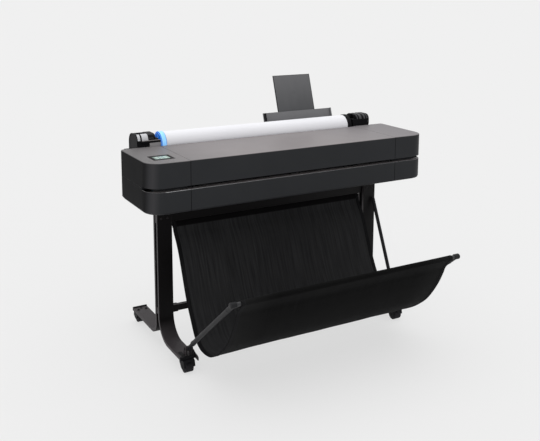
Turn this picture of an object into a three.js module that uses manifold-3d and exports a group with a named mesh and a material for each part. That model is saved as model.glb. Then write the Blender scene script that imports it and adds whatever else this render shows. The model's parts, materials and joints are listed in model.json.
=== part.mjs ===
// Large format plotter on a wheeled stand, with a paper roll, a sheet feeder and a fabric catch bin.
// Millimetres, +Z up, +X to the user's right, front face towards -Y.
// Depths (y) are first measured from the front face of the body; the exported group moves them
// so that the origin is on the floor, under the middle of the whole object's box.
import * as THREE from "three";
import { mergeVertices } from "three/addons/utils/BufferGeometryUtils.js";
import Module from "manifold-3d";

const wasm = await Module();
wasm.setup();

// ---- driving dimensions -------------------------------------------------------------------
const gap = 0.3; // between touching pieces
const seam = 0.8; // visible line between two covers
const wall = 3.2; // moulded cover thickness

const bodyHalfWidth = 658.5;
const bodyDepth = 325;
const bodyCorner = 66; // plan radius of the two front corners
const rearCorner = 14;
const topZ = 849;
const slotTopZ = 751; // the output slot runs round the front between these two heights
const slotBottomZ = 737;
const bottomZ = 649;
const seamX = 489; // the end pieces start here, on both sides
const slotEndY = 80; // the slot stops here on the sides
const sideSplitZ = 745; // line between upper and lower cover behind the slot's end
const slotDepth = 28;
const lidDepth = 313;
const flangeDepth = 40;

const legX = 515;
const legWidth = 64;
const legFrontY = 218;
const legRearY = 262;
const stripThickness = 12;
const footTopZ = 66;
const frontFootTipY = -4;
const rearFootTipY = 548;
const footBend = 90;
const rearFootBend = 46;
const beamLowZ = 546;
const crossbarZ = [155, 182];

const wheelRadius = 24;
const casterTrail = 12;
const stemRadius = 6;
const axleRadius = 3.5;
const frontSwivelY = 14;
const rearSwivelY = 528;

const armX = 506;
const armRadius = [7, 9.5]; // beside the pivot, and along the rest of the arm
const armPivot = [14, 90]; // y, z of the catch bin's hinge
const armPinRadius = 4;
const stayX = 532;
const stayRadius = 8;
const stayFootY = 19;
const stayTop = [210, 518]; // y, z
const socketHalf = 12; // half length of the socket on top of each arm, along X
const binBar = [-388, 419]; // y, z of the bin's front bar
const binBarRadius = 8;
const rearBar = [254, 536]; // y, z of the bar that holds the back of the fabric
const rearBarRadius = 6;
const fabricHalfWidth = 470;
const fabricThickness = 3;

const rollAxis = [368, 850]; // y, z
const rollRadius = 48.5;
const rollCoreRadius = 26;
const rollHalfLength = 457;
const hubRadius = 51;
const hubX = [459, 478];
const spindleRadius = 10;
const spindleHalfLength = 570;
const holderX = [492, 584];
const holderY = [328, 428];
const holderTopZ = 899;
const latchX = [-563, -536];
const latchZ = 870;
const housingFootZ = 664;
const housingTopZ = 794;
const housingRimZ = 826; // upstand along the housing's rear edge
const housingHalfWidth = 604;
const housingRearY = 440;

const trayLean = THREE.MathUtils.degToRad(18); // sheet feeder leans back from upright
const trayFoot = [415.5, 832]; // y, z of the tray's front face at its lower edge
const trayHeight = 98; // along the lean
const trayX = [68, 438];
const extensionX = [152, 353];
const extensionFrom = 82; // along the lean, from the tray's lower edge
const extensionTo = 271;

// ---- materials ----------------------------------------------------------------------------
const finish = (color, roughness, metalness = 0) =>
  new THREE.MeshStandardMaterial({ color, roughness, metalness });
const shellPlastic = finish(0x2f3033, 0.55);
const darkPlastic = finish(0x1b1b1d, 0.6);
const feederPlastic = finish(0x5c5d5f, 0.55);
const greyPlastic = finish(0xc4c5c7, 0.5);
const bluePlastic = finish(0x125fb0, 0.4);
const bezelGloss = finish(0x0a0a0b, 0.15);
const screenGlass = finish(0xcfe3dc, 0.1);
const standPaint = finish(0x151315, 0.45, 0.2);
const barPaint = finish(0x3a3a3d, 0.4, 0.4);
const zincSteel = finish(0x9a9ca0, 0.35, 0.9);
const rubber = finish(0x1a1a1b, 0.85);
const tread = finish(0x17171a, 0.8);
const paper = finish(0xf0f1f3, 0.8);
const binFabric = finish(0x1c1c1e, 0.95);
const boardGreen = finish(0x1d5a36, 0.6);

// ---- geometry helpers ---------------------------------------------------------------------
const model = new THREE.Group();

function box(x0, x1, y0, y1, z0, z1) {
  const geometry = new THREE.BoxGeometry(x1 - x0, y1 - y0, z1 - z0);
  return geometry.translate((x0 + x1) / 2, (y0 + y1) / 2, (z0 + z1) / 2);
}

// A shape drawn in (y, z), pulled along X.
function alongX(shape, x0, x1, curveSegments = 8) {
  const geometry = new THREE.ExtrudeGeometry(shape, {
    depth: x1 - x0,
    bevelEnabled: false,
    curveSegments,
  });
  const turn = new THREE.Matrix4().makeBasis(
    new THREE.Vector3(0, 1, 0),
    new THREE.Vector3(0, 0, 1),
    new THREE.Vector3(1, 0, 0),
  );
  return geometry.applyMatrix4(turn).translate(x0, 0, 0);
}

function polygon(points) {
  return new THREE.Shape(points.map(([u, v]) => new THREE.Vector2(u, v)));
}

// A cylinder between two points; a flat of its outline faces down when it lies level along X.
function rod(from, to, radius, sides = 24) {
  const start = new THREE.Vector3(...from);
  const line = new THREE.Vector3(...to).sub(start);
  const geometry = new THREE.CylinderGeometry(radius, radius, line.length(), sides, 1);
  geometry.rotateY(Math.PI / sides);
  const up = new THREE.Vector3(0, 1, 0);
  const turn = new THREE.Quaternion().setFromUnitVectors(up, line.clone().normalize());
  geometry.applyQuaternion(turn);
  const middle = line.multiplyScalar(0.5).add(start);
  return geometry.translate(middle.x, middle.y, middle.z);
}

function rodX(x0, x1, [y, z], radius, sides = 24) {
  return rod([x0, y, z], [x1, y, z], radius, sides);
}

function solid(geometry) {
  const bare = geometry.clone();
  bare.deleteAttribute("normal");
  bare.deleteAttribute("uv");
  const merged = mergeVertices(bare, 1e-3);
  return new wasm.Manifold(
    new wasm.Mesh({
      numProp: 3,
      vertProperties: new Float32Array(merged.attributes.position.array),
      triVerts: new Uint32Array(merged.index.array),
    }),
  );
}

function geometryOf(made) {
  const mesh = made.getMesh();
  const geometry = new THREE.BufferGeometry();
  const positions = new THREE.BufferAttribute(new Float32Array(mesh.vertProperties), 3);
  geometry.setAttribute("position", positions);
  geometry.setIndex(new THREE.BufferAttribute(new Uint32Array(mesh.triVerts), 1));
  geometry.computeVertexNormals();
  return geometry;
}

const join = (...shapes) => shapes.map(solid).reduce((a, b) => a.add(b));
const cut = (body, ...shapes) => shapes.map(solid).reduce((a, b) => a.subtract(b), body);

function piece(name, material, shape) {
  const geometry = shape instanceof THREE.BufferGeometry ? shape : geometryOf(shape);
  const mesh = new THREE.Mesh(geometry, material);
  mesh.name = name;
  model.add(mesh);
}

// ---- body covers --------------------------------------------------------------------------
// Plan outline of the body, moved inwards by an inset: four rounded corners, front ones first.
function bodyOutline(inset) {
  const x = bodyHalfWidth - inset;
  const front = bodyCorner - inset;
  const rear = Math.max(rearCorner - inset, 2);
  const back = bodyDepth - inset;
  const corners = [
    [-x + front, inset + front, front, Math.PI],
    [x - front, inset + front, front, Math.PI * 1.5],
    [x - rear, back - rear, rear, 0],
    [-x + rear, back - rear, rear, Math.PI / 2],
  ];
  const steps = 6;
  return corners.flatMap(([cx, cy, radius, start]) =>
    Array.from({ length: steps + 1 }, (_, k) => {
      const angle = start + ((k / steps) * Math.PI) / 2;
      return [cx + radius * Math.cos(angle), cy + radius * Math.sin(angle)];
    }),
  );
}

// A closed block through rings of the outline, each given as [inset, z], from the bottom up.
function bodyLoft(rings) {
  const positions = [];
  const faces = [];
  const middleY = bodyDepth / 2;
  const loops = rings.map(([inset]) => bodyOutline(inset));
  const count = loops[0].length;
  loops.forEach((loop, k) => loop.forEach(([x, y]) => positions.push(x, y, rings[k][1])));
  positions.push(0, middleY, rings[0][1], 0, middleY, rings.at(-1)[1]);
  const floorCentre = count * rings.length;
  const roofStart = count * (rings.length - 1);
  for (let i = 0; i < count; i++) {
    const next = (i + 1) % count;
    for (let k = 0; k + 1 < rings.length; k++) {
      const low = k * count;
      const high = low + count;
      faces.push(low + i, low + next, high + next, low + i, high + next, high + i);
    }
    faces.push(floorCentre, next, i);
    faces.push(floorCentre + 1, roofStart + i, roofStart + next);
  }
  const geometry = new THREE.BufferGeometry();
  geometry.setAttribute("position", new THREE.Float32BufferAttribute(positions, 3));
  geometry.setIndex(faces);
  return geometry;
}

const bodyBlock = (inset, z0, z1) => bodyLoft([[inset, z0], [inset, z1]]);

const everywhereX = [-bodyHalfWidth - 10, bodyHalfWidth + 10];

function upperBlock() {
  const lip = 1.2;
  const rim = 4;
  const outer = solid(
    bodyLoft([
      [lip, slotTopZ],
      [0, slotTopZ + lip],
      [0, topZ - rim],
      [rim * 0.3, topZ - rim * 0.3],
      [rim, topZ],
    ]),
  );
  const behindSlot = box(...everywhereX, slotEndY, bodyDepth + 10, sideSplitZ - 5, topZ);
  const skirt = solid(bodyBlock(0, sideSplitZ, topZ - 20)).intersect(solid(behindSlot));
  const hollow = solid(bodyBlock(wall, slotTopZ + wall, topZ - wall));
  const behindFlange = box(...everywhereX, flangeDepth, bodyDepth + 10, sideSplitZ - 5, topZ);
  const below = solid(bodyBlock(wall, sideSplitZ - 5, topZ - 20)).intersect(solid(behindFlange));
  return outer.add(skirt).subtract(hollow.add(below));
}

// Inner wall of the output slot, behind the rounded corners.
function slotWall(side) {
  const foot = slotBottomZ + gap;
  const roof = slotTopZ + wall;
  const ring = solid(bodyBlock(slotDepth, foot, roof));
  const hole = solid(bodyBlock(slotDepth + wall, foot - 5, roof + 5));
  const zoneX = side < 0 ? [everywhereX[0], -seamX - seam / 2] : [seamX + seam / 2, everywhereX[1]];
  const zone = solid(box(...zoneX, 0, slotEndY + wall, foot - 5, roof + 5));
  const closeX = [bodyHalfWidth - slotDepth - wall, bodyHalfWidth - wall - gap];
  const closing = side < 0 ? [-closeX[1], -closeX[0]] : closeX;
  const end = solid(box(...closing, slotEndY, slotEndY + wall, foot, roof));
  return ring.subtract(hole).intersect(zone).add(end);
}

const screen = { x: [-612, -525], y: [63, 143], frame: 13, drop: 2 };

function makeUpperCovers() {
  const block = upperBlock();
  const edge = seamX + seam / 2;
  const leftZone = solid(box(everywhereX[0], -edge, -10, bodyDepth + 10, 0, topZ + 10));
  const rightZone = solid(box(edge, everywhereX[1], -10, bodyDepth + 10, 0, topZ + 10));
  const lidEdge = seamX - seam / 2;
  const lidZone = solid(box(-lidEdge, lidEdge, -10, lidDepth, 0, topZ + 10));
  const recess = box(
    screen.x[0] - gap,
    screen.x[1] + gap,
    screen.y[0] - gap,
    screen.y[1] + gap,
    topZ - screen.drop,
    topZ + 10,
  );
  piece("left_end_cover", shellPlastic, cut(block.intersect(leftZone).add(slotWall(-1)), recess));
  piece("right_end_cover", shellPlastic, block.intersect(rightZone).add(slotWall(1)));
  piece("top_cover", shellPlastic, block.intersect(lidZone));
}

function lowerBlock() {
  const lip = 1.2;
  const rim = 9;
  const heelY = 285;
  const heelZ = 665;
  const outer = solid(
    bodyLoft([
      [rim, bottomZ],
      [rim * 0.3, bottomZ + rim * 0.3],
      [0, bottomZ + rim],
      [0, slotBottomZ - lip],
      [lip, slotBottomZ],
    ]),
  );
  const behindSlot = box(...everywhereX, slotEndY, bodyDepth + 10, bottomZ, topZ);
  const skirt = solid(bodyBlock(0, bottomZ + 20, sideSplitZ - seam)).intersect(solid(behindSlot));
  // The heel is the slope that takes off the body's lower rear edge.
  const heel = (shift) =>
    solid(
      alongX(
        polygon([
          [heelY - shift, bottomZ - 5],
          [bodyDepth + 10, bottomZ - 5],
          [bodyDepth + 10, heelZ + shift],
          [heelY - shift, bottomZ + 1 + shift],
        ]),
        ...everywhereX,
      ),
    );
  const hollow = solid(bodyBlock(wall, bottomZ + wall, slotBottomZ - wall)).subtract(heel(wall));
  const behindFlange = box(...everywhereX, flangeDepth, bodyDepth + 10, bottomZ + 20, topZ);
  const above = solid(bodyBlock(wall, bottomZ + 20, topZ)).intersect(solid(behindFlange));
  const openX = bodyHalfWidth - 12;
  const below = box(-openX, openX, flangeDepth + 20, bodyDepth - 12, bottomZ - 5, bottomZ + 10);
  return outer.add(skirt).subtract(heel(0)).subtract(hollow.add(above)).subtract(solid(below));
}

function makeLowerCovers() {
  const block = lowerBlock();
  const edge = seamX + seam / 2;
  const zone = (x0, x1, y0, y1) => solid(box(x0, x1, y0, y1, 0, topZ));
  const doorEnd = slotEndY - seam;
  const middle = zone(-seamX + seam / 2, seamX - seam / 2, -10, flangeDepth + 20);
  piece("ink_door", shellPlastic, block.intersect(zone(everywhereX[0], -edge, -10, doorEnd)));
  const leftZone = zone(everywhereX[0], -edge, slotEndY, bodyDepth + 10);
  piece("left_lower_cover", shellPlastic, block.intersect(leftZone));
  const rightZone = zone(edge, everywhereX[1], -10, bodyDepth + 10);
  piece("right_lower_cover", shellPlastic, block.intersect(rightZone));
  piece("lower_front_panel", shellPlastic, block.intersect(middle));
}

function makeScreen() {
  const bezelTop = topZ + 0.4;
  const [x0, x1] = screen.x;
  const [y0, y1] = screen.y;
  const frame = screen.frame;
  const window = box(x0 + frame, x1 - frame, y0 + frame + 4, y1 - frame - 4, topZ - 5, topZ + 5);
  const bezel = box(x0, x1, y0, y1, topZ - screen.drop + gap, bezelTop);
  piece("screen_bezel", bezelGloss, cut(solid(bezel), window));
  const inner = frame + gap;
  const glassZ = [topZ - screen.drop + gap, bezelTop - 0.2];
  const glass = box(x0 + inner, x1 - inner, y0 + inner + 4, y1 - inner - 4, ...glassZ);
  piece("touch_screen", screenGlass, glass);
}

// ---- rear housing, roll and holders -------------------------------------------------------
const button = { x: -540, z: 735, radius: 8, travel: 2 };
const inlet = { x: [-500, -450], z: [690, 722] };

function makeRearHousing() {
  const chamfer = 16;
  const front = bodyDepth + gap;
  const rimY = housingRearY - 10;
  const outline = polygon([
    [front, housingFootZ],
    [housingRearY - chamfer, housingFootZ],
    [housingRearY, housingFootZ + chamfer],
    [housingRearY, housingRimZ],
    [rimY, housingRimZ],
    [rimY, housingTopZ],
    [front, housingTopZ],
  ]);
  const hollow = box(
    -housingHalfWidth + wall,
    housingHalfWidth - wall,
    front - 5,
    housingRearY - wall,
    housingFootZ + wall + 6,
    housingTopZ - wall,
  );
  const buttonHole = rod(
    [button.x, housingRearY - 10, button.z],
    [button.x, housingRearY + 5, button.z],
    button.radius + 0.4,
  );
  const shell = solid(alongX(outline, -housingHalfWidth, housingHalfWidth));
  const inletHole = box(...inlet.x, housingRearY - 10, housingRearY + 5, ...inlet.z);
  piece("rear_housing", darkPlastic, cut(shell, hollow, buttonHole, inletHole));
  const pin = rod(
    [button.x, housingRearY - 9, button.z],
    [button.x, housingRearY + 3, button.z],
    button.radius,
  );
  piece("power_button", darkPlastic, pin);
  const socket = box(
    inlet.x[0] + gap,
    inlet.x[1] - gap,
    housingRearY - 24,
    housingRearY + 1,
    inlet.z[0] + gap,
    inlet.z[1] - gap,
  );
  const mouth = box(
    inlet.x[0] + 10,
    inlet.x[1] - 10,
    housingRearY - 18,
    housingRearY + 5,
    inlet.z[0] + 7,
    inlet.z[1] - 7,
  );
  piece("power_inlet", darkPlastic, cut(solid(socket), mouth));
}

function holderOutline() {
  const [front, rear] = holderY;
  const foot = housingTopZ + gap;
  const frontBend = 24;
  const rearBend = 40;
  const outline = new THREE.Shape();
  outline.moveTo(front, foot);
  outline.lineTo(rear, foot);
  outline.absarc(rear - rearBend, holderTopZ - rearBend, rearBend, 0, Math.PI / 2, false);
  outline.absarc(front + frontBend, holderTopZ - frontBend, frontBend, Math.PI / 2, Math.PI, false);
  return outline;
}

// A cradle at each end of the roll: a rounded block with a slot open at the top for the spindle.
function makeHolders() {
  const [y, z] = rollAxis;
  const [front, rear] = holderY;
  const slotHalf = spindleRadius + 1;
  const endWall = 10;
  const ledge = { width: 20, z: 880 }; // the inner end is lower, under the hub's rim
  const latchRearY = y - slotHalf - 2.5;
  const above = topZ + 80;
  for (const side of [-1, 1]) {
    const place = (a, b) => (side < 0 ? [-b, -a] : [a, b]);
    const block = solid(alongX(holderOutline(), ...place(...holderX)));
    const slotX = place(holderX[0] - endWall, holderX[1] - endWall);
    const groove = box(...slotX, y - slotHalf, y + slotHalf, z, above);
    const seat = rodX(...slotX, rollAxis, slotHalf);
    const ledgeX = place(holderX[0] - endWall, holderX[0] + ledge.width);
    const notch = box(...ledgeX, front - endWall, rear + endWall, ledge.z, above);
    const pocketY = [front - endWall, y - slotHalf + 1];
    const pocket = box(latchX[0] - 1, latchX[1] + 1, ...pocketY, latchZ, above);
    const cuts = side < 0 ? [groove, seat, notch, pocket] : [groove, seat, notch];
    const name = side < 0 ? "left_roll_holder" : "right_roll_holder";
    piece(name, darkPlastic, cut(block, ...cuts));
  }
  const latchZone = solid(box(...latchX, front - endWall, latchRearY, latchZ + gap, above));
  piece("roll_latch", greyPlastic, solid(alongX(holderOutline(), ...latchX)).intersect(latchZone));
}

function makeRoll() {
  const ends = [-spindleHalfLength, spindleHalfLength];
  piece("spindle", darkPlastic, rodX(...ends, rollAxis, spindleRadius));
  const bore = (x0, x1, radius) => rodX(x0 - 5, x1 + 5, rollAxis, radius);
  const core = bore(-rollHalfLength, rollHalfLength, rollCoreRadius);
  const coil = solid(rodX(-rollHalfLength, rollHalfLength, rollAxis, rollRadius, 36));
  piece("paper_roll", paper, cut(coil, core));
  const plugX = [rollHalfLength - 40, hubX[0] + 3];
  for (const side of [-1, 1]) {
    const span = (a, b) => (side < 0 ? [-b, -a] : [a, b]);
    const disc = rodX(...span(...hubX), rollAxis, hubRadius, 36);
    const collar = rodX(...span(rollHalfLength + gap, hubX[0] + 2), rollAxis, 40, 24);
    const plug = rodX(...span(...plugX), rollAxis, rollCoreRadius - 0.5, 16);
    const hole = bore(...span(plugX[0], hubX[1]), spindleRadius + 0.4);
    const name = side < 0 ? "left_roll_hub" : "right_roll_hub";
    const material = side < 0 ? bluePlastic : darkPlastic;
    piece(name, material, cut(join(disc, collar, plug), hole));
  }
}

// ---- sheet feeder -------------------------------------------------------------------------
// A box given along the feeder's own lean: along it (s0 to s1) and behind its front face (d0 to d1).
function leaning(x0, x1, s0, s1, d0, d1) {
  const geometry = box(x0, x1, d0, d1, s0, s1);
  geometry.rotateX(-trayLean);
  return geometry.translate(0, ...trayFoot);
}

function makeFeeder() {
  const plate = 5;
  const back = plate + gap;
  const sheet = 4;
  const [x0, x1] = trayX;
  const [e0, e1] = extensionX;
  const footZ = housingRimZ + gap;
  const bracket = (x) => box(x, x + 20, trayFoot[0] + 3, housingRearY - 1, footZ, footZ + 14);
  // Each rail is an L behind the tray: a wall beside the extension and a lip behind it.
  const railSpan = [30, trayHeight - 4];
  const lip = [plate + sheet + 1, plate + sheet + 4];
  const rail = (a, b, c, d) => [
    leaning(a, b, ...railSpan, plate - 1, lip[1]),
    leaning(c, d, ...railSpan, ...lip),
  ];
  const flange = { width: 6, from: 52, reach: 8 };
  const guideFrom = 40;
  const tray = join(
    leaning(x0, x1, 0, trayHeight, 0, plate),
    leaning(x1 - flange.width, x1, flange.from, trayHeight, -flange.reach, plate),
    bracket(x0 + 22),
    bracket(x1 - 42),
    ...rail(e0 - 5, e0 - gap, e0 - 5, e0 + 6),
    ...rail(e1 + gap, e1 + 5, e1 - 6, e1 + 5),
  );
  piece("feeder_tray", feederPlastic, tray);
  const panel = leaning(e0, e1, extensionFrom, extensionTo, back, back + sheet);
  piece("feeder_extension", feederPlastic, panel);
  const guide = join(
    leaning(x0 + 2, x0 + 8, guideFrom, trayHeight - 2, -14, -gap),
    leaning(x0 + 2, x0 + 34, guideFrom, guideFrom + 16, -3, -gap),
  );
  piece("feeder_guide", darkPlastic, guide);
}

// ---- inside the body ----------------------------------------------------------------------
const feedRoller = { at: [125, 722], radius: 14, halfX: 480 };
const pinchRoller = { radius: 7, halfX: 470 };
const platen = { rearY: 106, z: [730, 734] };
const traySheet = 3.4;
const trayFloorZ = bottomZ + wall + 0.4;
const deckZ = trayFloorZ + traySheet + gap; // what stands in the base tray starts here

function makePaperPath() {
  const [y, z] = feedRoller.at;
  const width = [-feedRoller.halfX, feedRoller.halfX];
  piece("output_platen", darkPlastic, box(...width, flangeDepth + 3, platen.rearY, ...platen.z));
  piece("feed_roller", rubber, rodX(...width, feedRoller.at, feedRoller.radius));
  const { radius, halfX } = pinchRoller;
  const pinchAt = [y, z + feedRoller.radius + radius + gap];
  piece("pinch_roller", rubber, rodX(-halfX, halfX, pinchAt, radius, 16));
}

function makeBaseTray() {
  const lip = 3;
  const [y0, y1] = [61, 284];
  const frontLipZ = 668;
  const rearLipZ = 700;
  const halfX = bodyHalfWidth - 13;
  const width = [-halfX, halfX];
  const floor = join(
    box(...width, y0, y1, trayFloorZ, trayFloorZ + traySheet),
    box(...width, y0, y0 + lip, trayFloorZ, frontLipZ),
    box(...width, y1 - lip, y1, trayFloorZ, rearLipZ),
  );
  piece("base_tray", zincSteel, floor);
}

function makeChassis() {
  const sheet = 3;
  const back = { x: [-485, 485], y: [285, 318], z: [656, 792] };
  const backSheets = join(
    box(...back.x, ...back.y, back.z[0], back.z[0] + sheet),
    box(...back.x, back.y[1] - sheet, back.y[1], ...back.z),
  );
  piece("rear_chassis_sheet", zincSteel, backSheets);
  const rail = { x: [-600, 600], y: [240, 264], z: [768, 800] };
  const channel = join(
    box(...rail.x, rail.y[0], rail.y[0] + sheet, ...rail.z),
    box(...rail.x, ...rail.y, rail.z[1] - sheet, rail.z[1]),
    box(...rail.x, ...rail.y, rail.z[0], rail.z[0] + sheet),
  );
  piece("carriage_rail", zincSteel, channel);
}

const belt = { reach: 596, z: 817, radius: 9, thickness: 1.5, width: 6, y: 251 };

function makeCarriage() {
  const body = solid(box(500, 590, 152, 236, 752, 812));
  const well = { x: 506, pitch: 20, width: 16, y: [160, 226], z: [790, 815] };
  const wells = [0, 1, 2, 3].map((k) => {
    const x = well.x + well.pitch * k;
    return box(x, x + well.width, ...well.y, ...well.z);
  });
  piece("print_carriage", darkPlastic, cut(body, ...wells));
}

function makeBelt() {
  const { reach, z, radius } = belt;
  const bore = radius - belt.thickness;
  const outer = new THREE.Shape();
  outer.absarc(reach, z, radius, -Math.PI / 2, Math.PI / 2, false);
  outer.absarc(-reach, z, radius, Math.PI / 2, Math.PI * 1.5, false);
  const hole = new THREE.Path();
  hole.absarc(reach, z, bore, Math.PI / 2, -Math.PI / 2, true);
  hole.absarc(-reach, z, bore, -Math.PI / 2, -Math.PI * 1.5, true);
  outer.holes.push(hole);
  const loop = new THREE.ExtrudeGeometry(outer, {
    depth: belt.width,
    bevelEnabled: false,
    curveSegments: 8,
  });
  piece("drive_belt", rubber, loop.rotateX(Math.PI / 2).translate(0, belt.y, 0));
}

function makeMotor() {
  const { reach, z, radius } = belt;
  const can = { y: [252.5, 296], radius: 16 };
  const pulley = { y: [244, 254], radius: radius - 2 };
  const motor = join(
    rod([-reach, can.y[0], z], [-reach, can.y[1], z], can.radius),
    rod([-reach, pulley.y[0], z], [-reach, pulley.y[1], z], pulley.radius),
  );
  piece("carriage_motor", zincSteel, motor);
}

function makeInks() {
  const inks = { black: 0x101012, cyan: 0x1687b8, magenta: 0xb0236a, yellow: 0xd8b81c };
  const tank = { x: -640, pitch: 36, width: 30, y: [66, 190], topZ: 722 };
  const nose = { inset: 8, y: [24, 70], z: [670, 712] };
  Object.entries(inks).forEach(([ink, color], k) => {
    const x0 = tank.x + tank.pitch * k;
    const x1 = x0 + tank.width;
    const cartridge = join(
      box(x0, x1, ...tank.y, deckZ, tank.topZ),
      box(x0 + nose.inset, x1 - nose.inset, ...nose.y, ...nose.z),
    );
    piece("ink_cartridge_" + ink, finish(color, 0.4), cartridge);
  });
}

function makeElectronics() {
  const station = solid(box(500, 620, 150, 238, deckZ, 742));
  const basin = box(512, 608, 160, 228, 730, 750);
  piece("service_station", darkPlastic, cut(station, basin));
  const boardZ = [deckZ + 6, deckZ + 8];
  const partsZ = deckZ + 7;
  const board = join(
    box(-420, -180, 160, 275, ...boardZ),
    box(-380, -340, 190, 230, partsZ, partsZ + 11),
    box(-300, -240, 180, 250, partsZ, partsZ + 6),
  );
  piece("main_board", boardGreen, board);
  piece("power_supply", zincSteel, box(220, 420, 160, 275, deckZ, 706));
}

// ---- stand --------------------------------------------------------------------------------
const stripTopZ = bottomZ + wall + 0.1;

function frontStrip() {
  const outline = new THREE.Shape();
  const y = legFrontY;
  const bendZ = footTopZ + footBend;
  outline.moveTo(y, stripTopZ);
  outline.lineTo(y, bendZ);
  outline.absarc(y - footBend, bendZ, footBend, 0, -Math.PI / 2, true);
  outline.lineTo(frontFootTipY, footTopZ);
  outline.lineTo(frontFootTipY, footTopZ - stripThickness);
  outline.lineTo(y - footBend, footTopZ - stripThickness);
  outline.absarc(y - footBend, bendZ, footBend + stripThickness, -Math.PI / 2, 0, false);
  outline.lineTo(y + stripThickness, stripTopZ);
  return outline;
}

function rearStrip() {
  const outline = new THREE.Shape();
  const y = legRearY;
  const bendZ = footTopZ + rearFootBend;
  outline.moveTo(y, stripTopZ);
  outline.lineTo(y, bendZ);
  outline.absarc(y + rearFootBend, bendZ, rearFootBend, Math.PI, Math.PI * 1.5, false);
  outline.lineTo(rearFootTipY, footTopZ);
  outline.lineTo(rearFootTipY, footTopZ - stripThickness);
  outline.lineTo(y + rearFootBend, footTopZ - stripThickness);
  outline.absarc(y + rearFootBend, bendZ, rearFootBend + stripThickness, Math.PI * 1.5, Math.PI, true);
  outline.lineTo(y - stripThickness, stripTopZ);
  return outline;
}

// Two cheeks on the foot that hold the bin arm's pivot pin.
function armBracket(side) {
  const [y, z] = armPivot;
  const cheek = new THREE.Shape();
  cheek.moveTo(y - 16, footTopZ - 2);
  cheek.lineTo(y + 16, footTopZ - 2);
  cheek.lineTo(y + 12, z);
  cheek.absarc(y, z, 12, 0, Math.PI, false);
  const half = 9.4; // half the room between the cheeks
  const inner = armX - half;
  const outer = armX + half;
  const place = (a, b) => (side < 0 ? [-b, -a] : [a, b]);
  return [
    alongX(cheek, ...place(inner - 7, inner)),
    alongX(cheek, ...place(outer, outer + 5)),
  ];
}

function makeLegs() {
  const half = legWidth / 2;
  for (const side of [-1, 1]) {
    const word = side < 0 ? "left" : "right";
    const x = side * legX;
    const stem = (y) => rod([x, y, footTopZ - 20], [x, y, footTopZ + 5], stemRadius + 0.4);
    const pinHole = rodX(x - 60, x + 60, armPivot, armPinRadius + 0.4, 12);
    const front = join(alongX(frontStrip(), x - half, x + half), ...armBracket(side));
    piece(word + "_leg_front", standPaint, cut(front, stem(frontSwivelY), pinHole));
    const rear = solid(alongX(rearStrip(), x - half, x + half));
    piece(word + "_leg_rear", standPaint, cut(rear, stem(rearSwivelY)));
  }
  const y0 = legFrontY + stripThickness + gap;
  const y1 = legRearY - stripThickness - gap;
  const reach = legX + half - 2;
  piece("upper_beam", standPaint, box(-reach, reach, y0, y1, beamLowZ, stripTopZ));
  piece("lower_crossbar", standPaint, box(-reach, reach, y0, y1, ...crossbarZ));
}

function casterForkOutline(swivelY, wheelY) {
  const top = footTopZ - stripThickness - gap;
  const half = wheelRadius + 3;
  const outline = new THREE.Shape();
  const away = Math.sign(wheelY - swivelY);
  const nearY = swivelY - away * 13;
  outline.moveTo(nearY, top);
  outline.lineTo(nearY, top - 16);
  outline.lineTo(wheelY - away * 8, wheelRadius - 6);
  outline.lineTo(wheelY + away * 8, wheelRadius - 6);
  outline.lineTo(wheelY + away * half * 0.86, wheelRadius + 4);
  outline.lineTo(wheelY + away * half * 0.7, top - 5);
  outline.lineTo(wheelY + away * half * 0.45, top);
  return outline;
}

// A swivelling caster: the fork's stem turns in the foot, the wheel turns on its own axle.
function makeCaster(name, x, swivelY, away) {
  const wheelY = swivelY + away * casterTrail;
  const at = [wheelY, wheelRadius];
  const top = footTopZ - stripThickness;
  const half = 17;
  const cheek = 6;
  const sides = 24;
  const hood = join(
    alongX(casterForkOutline(swivelY, wheelY), x - half - cheek - 1, x + half + cheek + 1),
    rod([x, swivelY, top - 4], [x, swivelY, top + 9], stemRadius, 16),
  );
  const room = rodX(x - half - 1, x + half + 1, at, wheelRadius + 1.4);
  const below = box(x - half - 1, x + half + 1, wheelY - 40, wheelY + 40, -5, wheelRadius);
  const axleHole = rodX(x - 40, x + 40, at, axleRadius + 0.4, 12);
  piece(name + "_fork", darkPlastic, cut(hood, room, below, axleHole));
  const onFlat = wheelRadius / Math.cos(Math.PI / sides);
  const wheel = join(
    rodX(x - half, x + half, at, onFlat, sides),
    rodX(x - half - cheek, x + half + cheek, at, axleRadius, 12),
  );
  piece(name + "_wheel", tread, wheel);
}

// ---- catch bin ----------------------------------------------------------------------------
function makeBin() {
  for (const side of [-1, 1]) {
    const x = side * armX;
    const [y0, z0] = armPivot;
    const [y1, z1] = binBar;
    const pinX = side < 0 ? [x - 13, x + 16] : [x - 16, x + 13];
    const thickFrom = 0.14; // share of the arm's length where its thin lower end stops
    const along = (share) => [x, y0 + (y1 - y0) * share, z0 + (z1 - z0) * share];
    const arm = join(
      rod(along(0), along(thickFrom + 0.01), armRadius[0], 12),
      rod(along(thickFrom), along(1), armRadius[1], 16),
      rodX(x - 9, x + 9, armPivot, 10, 16),
      rodX(...pinX, armPivot, armPinRadius, 12),
      rodX(x - socketHalf, x + socketHalf, binBar, armRadius[1] + 0.5, 20),
    );
    piece(side < 0 ? "left_bin_arm" : "right_bin_arm", barPaint, arm);
  }
  const reach = armX - socketHalf - gap;
  piece("bin_front_bar", barPaint, rodX(-reach, reach, binBar, binBarRadius));
  piece("bin_rear_bar", barPaint, rodX(-fabricHalfWidth, fabricHalfWidth, rearBar, rearBarRadius));
  const stayFoot = [stayX, stayFootY, footTopZ + 6 + gap];
  piece("right_stay_rod", barPaint, rod(stayFoot, [stayX, ...stayTop], stayRadius, 16));
}

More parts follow.
